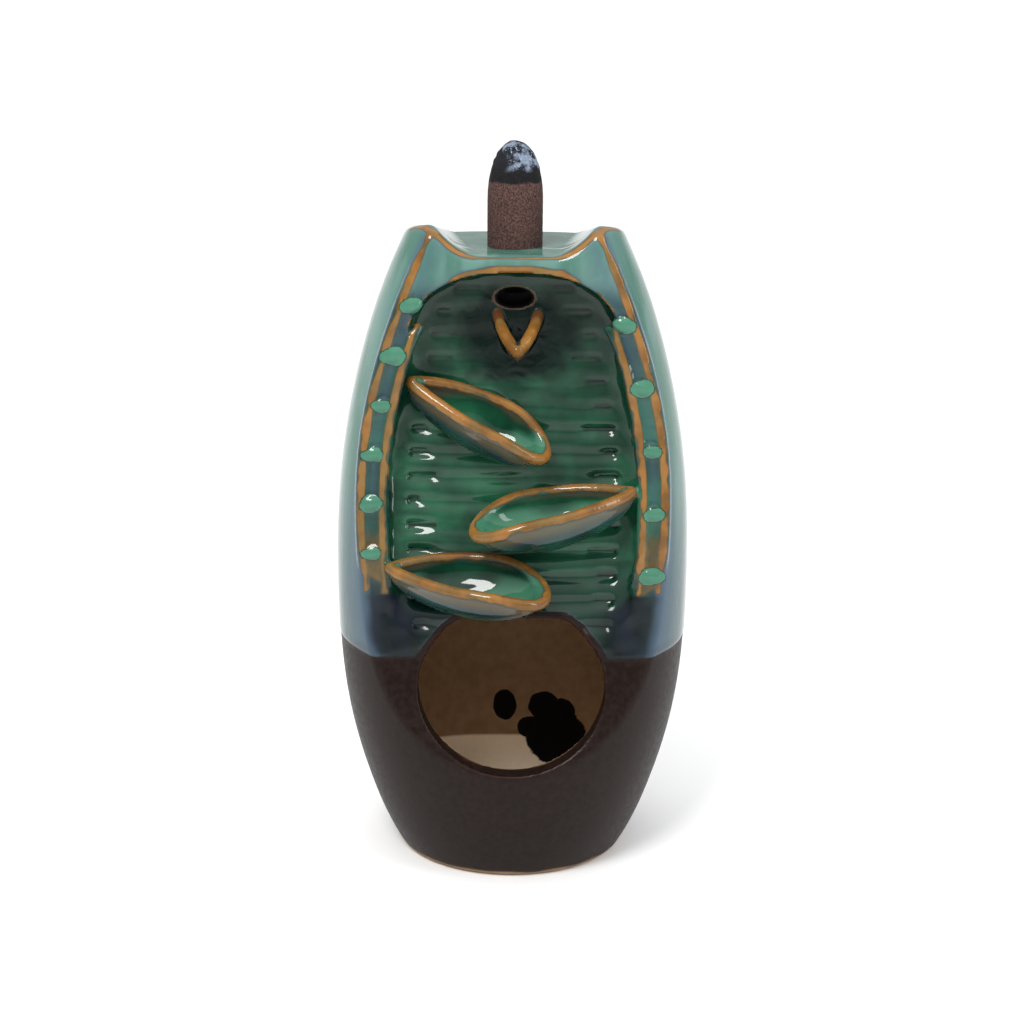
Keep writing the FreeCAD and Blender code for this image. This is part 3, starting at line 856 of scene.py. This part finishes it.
def flowing_glaze(n):
    """The panel's and the wall's green together, with the dark pools and the blue and tan flows."""
    glaze = n.mix(n.cover("outside"), panel_glaze(n), wall_glaze(n))
    glaze = n.over(glaze, POOL_GREEN, n.step(n.cover("pooled"), 0.15, 0.8), 0.8)
    glaze = n.over(glaze, FLOW_BLUE, n.cover("blue"), 0.62)
    glaze = n.over(glaze, UNDER_RIM_BLUE, n.cover("under_rim"), 0.4)
    return n.over(glaze, RIM_TAN, n.cover("tan_fade"), 0.6)


def breaking_glaze(n):
    """The glaze as it breaks to haze, olive and orange on beads, crests, rims and other thin places."""
    lines = n.highest(n.times(n.cover("rail"), 0.72), n.times(n.cover("crest"), 0.86))
    breaking = n.math("ADD", n.math("ADD", n.cover("thin"), lines), n.swing(n.noise(200.0, 3.0), 0.2))
    breaking = n.math("SUBTRACT", breaking, n.times(n.cover("chin"), 0.5))
    hazy = n.highest(n.cover("outside"), n.times(n.cover("hull"), 0.45), 0.25)
    hazy = n.times(n.times(hazy, 0.6), n.math("SUBTRACT", 1.0, n.cover("rail")))
    orange = n.mix(n.step(n.noise(190.0, 2.0), 0.3, 0.7), *BREAK_ORANGES)
    orange = n.over(orange, STREAKED_OLIVE, n.step(n.streaks, 0.42, 0.64), 0.5)
    orange = n.over(orange, PANEL_RUST, n.cover("panel"), 0.8)
    glaze = n.over(flowing_glaze(n), BREAK_HAZE, n.step(breaking, 0.2, 0.42), hazy)
    glaze = n.over(glaze, BREAK_OLIVE, n.step(breaking, 0.38, 0.54), 0.85)
    return n.over(glaze, orange, n.step(breaking, 0.50, 0.72))


def whole_glaze(n):
    """The breaking glaze with the green knots and the dark chin."""
    knot = n.cover("knot")
    glaze = n.over(breaking_glaze(n), KNOT_EDGE, n.step(knot, 0.05, 0.4))
    glaze = n.over(glaze, n.mix(n.clouds, *KNOT_GREENS), n.step(knot, 0.4, 0.7))
    dark_chin = n.mix(n.step(n.streaks, 0.4, 0.65), *CHIN_DARKS)
    return n.over(glaze, dark_chin, n.cover("chin"), 0.92)


def dipped_body(n):
    """Glaze above the dip line and brown slip below it, with a blue edge where the glaze ends."""
    brown = n.mix(n.step(n.fine, 0.35, 0.7), *BROWN_SLIP)
    brown = n.over(brown, BROWN_EDGE, n.step(n.cover("thin"), 0.35, 0.9))
    body = n.mix(n.glazed, brown, whole_glaze(n))
    above = n.cover("above_dip")
    edge = n.times(n.step(above, -0.2, 0.6), n.step(above, 3.4, 0.8))
    edge = n.times(edge, n.math("SUBTRACT", 1.0, n.cover("chin")))
    return n.over(body, DIP_EDGE_BLUE, edge, 0.6)


def smoke_stains(n):
    """Black stains at the foot of the chamber's back wall: a small round one and a large lobed one."""
    nearest = 9.0
    for centre, size in STAINS:
        nearest = n.math("MINIMUM", n.away(centre, size), nearest)
    nearest = n.math("ADD", nearest, n.swing(n.noise(260.0, 3.0), 0.17))
    return n.step(nearest, 1.03, 0.95)


def bare_clay(n):
    """Tan clay of the chamber, paler on its floor with painted light, and black where smoke and resin have
    stained it.
    """
    clay = n.mix(n.step(n.noise(420.0, 4.0), 0.25, 0.75), *WALL_CLAY)
    below_line = n.step(n.level, CHAMBER_FLOOR_LINE + 0.4, CHAMBER_FLOOR_LINE - 0.4)
    # painted light makes the chamber's floor paler below the line where it meets the back wall
    lit_floor = n.times(below_line, n.step(n.level, 4.0, 5.0))
    clay = n.over(clay, n.mix(n.fine, *LIT_FLOOR_CLAY), lit_floor)
    return n.over(clay, SOOT, n.highest(smoke_stains(n), n.cover("soot")))


def fired_glaze():
    """Green breaking glaze over satin brown over bare clay, placed by what the mesh carries."""
    n = GlazeNodes("breaking_green_glaze")
    bare, chin = n.cover("bare"), n.cover("chin")
    satin = n.mix_value(n.step(n.fine, 0.3, 0.7), 0.38, 0.48)
    rough = n.mix_value(n.times(chin, 0.8), n.mix_value(n.glazed, satin, 0.06), 0.16)
    rough = n.mix_value(bare, rough, 0.85)
    dulled = n.highest(n.times(n.drips, 0.85), n.times(chin, 0.6))
    gloss = n.mix_value(dulled, n.mix_value(n.glazed, 0.12, 0.36), 0.1)
    grain = n.bump(n.noise(1500.0, 3.0), n.mix_value(n.glazed, 0.12, 0.0), 0.1 * MM)
    ripple = n.bump(n.noise(240.0, 2.0), n.mix_value(n.glazed, 0.0, 0.12), 0.3 * MM, grain)
    wrinkles = n.noise(190.0, 1.0, distortion=1.2)
    surface = n.bump(wrinkles, n.times(n.drips, 0.35), 1.0 * MM, ripple)
    return n.finish(
        Base_Color=n.mix(bare, dipped_body(n), bare_clay(n)),
        Roughness=rough, Specular_IOR_Level=gloss, Normal=surface, IOR=1.5)


def burnt_incense():
    """Speckled brown pressed powder, charred towards the tip, with pale ash on top."""
    n = Nodes("pressed_incense")
    speck = n.noise(2600.0, 2.0)
    patch = n.noise(420.0, 3.0)
    powder = n.mix(n.step(speck, 0.4, 0.62), *POWDER)
    powder = n.over(powder, POWDER_SPECK, n.step(n.noise(1900.0, 2.0), 0.62, 0.7))
    char = n.mix(n.step(speck, 0.45, 0.7), *CHAR)
    ash = n.mix(n.step(patch, 0.44, 0.60), *ASH)
    ash = n.over(ash, ASH_SPECK, n.step(speck, 0.55, 0.75))
    ash = n.mix(n.step(n.attribute("ash_side"), 0.2, 0.75), ASH_SHADE, ash)
    level = n.math("ADD", n.attribute("burnt"), n.swing(patch, 0.8))
    body = n.mix(n.step(level, -0.25, 0.25), powder, char)
    body = n.mix(n.step(level, 2.4, 3.6), body, ash)
    return n.finish(
        Base_Color=body, Roughness=0.92, Specular_IOR_Level=0.25, Normal=n.bump(speck, 0.5, 0.12 * MM))


# The two pieces

def thickness_of_glaze(points, normals, edges):
    """How thin the glaze is drawn over sharp places, and how far it pools in hollows."""
    small = bulge(points, normals, edges, 8)
    broad = bulge(points, normals, edges, 40)
    thin = smoothstep(0.03, 0.22, small) * 0.8 + smoothstep(0.35, 1.0, broad) * 0.35
    pooled = smoothstep(0.02, 0.16, -small) * 0.6 + smoothstep(0.15, 0.8, -broad) * 0.5
    thin = thin * (1.0 - 0.55 * smoothstep(10.0, 17.0, np.abs(points[:, 0])) * arch_edge(points))
    return np.stack([thin, pooled], 1)


def glazed_points(points, normals, edges):
    """Points moved out by the glaze, with the slats partly filled, rounded and rippled."""
    above = above_dip(points)
    grown = GLAZE_THICKNESS * smoothstep(-0.3, 0.5, above) * (1.0 - bare_inside(points))
    patches = waves(points * np.array([0.5, 0.1, 1.0]), (21.0, 13.0), 43)
    patchy = smoothstep(0.0, 0.5, patches) * 0.7
    filled = np.maximum(smoothstep(106.0, 118.0, points[:, 2]), patchy) * panel_cover(points) * PANEL_FILL
    points[:, 1] -= np.clip(behind_face(PANEL_FACE, points), 0.0, 2.0) * filled
    soft = PANEL_SOFTNESS * panel_cover(points)[:, None]
    points = points * (1.0 - soft) + relaxed(points, edges, 12) * soft
    on_panel = waves(points * np.array([0.35, 1.0, 1.6]), (11.0, 6.0), 39)
    on_wall = waves(points * np.array([1.0, 1.0, 0.3]), (16.0, 9.0), 41)
    ripple = PANEL_RIPPLE * panel_cover(points) * on_panel
    ripple += WALL_RIPPLE * smoothstep(1.5, 0.5, depth_in_barrel(points)) * on_wall * smoothstep(0.0, 1.0, above)
    return points + normals * (grown + ripple)[:, None]


def glazed_burner():
    """The fired piece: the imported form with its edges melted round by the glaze."""
    piece = remeshed_copy("burner_body", "glazed_burner", BODY_VOXEL, 4)
    mesh = piece.data
    points = read_points(mesh)
    normals = read_normals(mesh)
    edges = read_edges(mesh)
    carried = relaxed(thickness_of_glaze(points, normals, edges), edges, 2)
    points = glazed_points(points, normals, edges)
    write_points(mesh, points)
    tree = grown_tree(points)
    triangles = sum(len(polygon.vertices) - 2 for polygon in mesh.polygons)
    apply_modifier(piece, "DECIMATE", ratio=min(1.0, BODY_TRIANGLES / triangles))
    mesh = piece.data
    points = read_points(mesh)
    nearest = np.array([tree.find(point)[1] for point in points])
    store(mesh, {"thin": carried[nearest, 0], "pooled": carried[nearest, 1]})
    store(mesh, burner_covers(points, read_normals(mesh)[:, 2]))
    finish_piece(piece, "burner_body", fired_glaze())


def incense():
    """The moulded cone: slightly rough powder, crumbly where it burns."""
    piece = remeshed_copy("incense_cone", "burnt_cone", CONE_VOXEL, 2)
    mesh = piece.data
    points = read_points(mesh)
    burnt = points[:, 2] - CHAR_HEIGHT
    crumble = smoothstep(0.0, 3.0, burnt) * 0.22
    rough = 0.03 * waves(points, (1.6, 1.0), 21) + crumble * waves(points, (3.2, 1.9), 22)
    points = points + read_normals(mesh) * rough[:, None]
    points[:, 2] = np.clip(points[:, 2], PLATFORM_HEIGHT, cad_high.z / MM)
    write_points(mesh, points)
    ash_side = smoothstep(-3.6, 0.4, points[:, 0] + 1.6 * waves(points, (4.0,), 23))
    store(mesh, {"burnt": burnt, "ash_side": ash_side})
    finish_piece(piece, "incense_cone", burnt_incense())


def finish_piece(piece, node, material):
    """Gives a piece its material, and its place in the frame."""
    only(piece)
    bpy.ops.object.shade_smooth()
    piece.data.materials.append(material)
    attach(piece, "root")
    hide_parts(node)


place_camera()
studio()
glazed_burner()
incense()
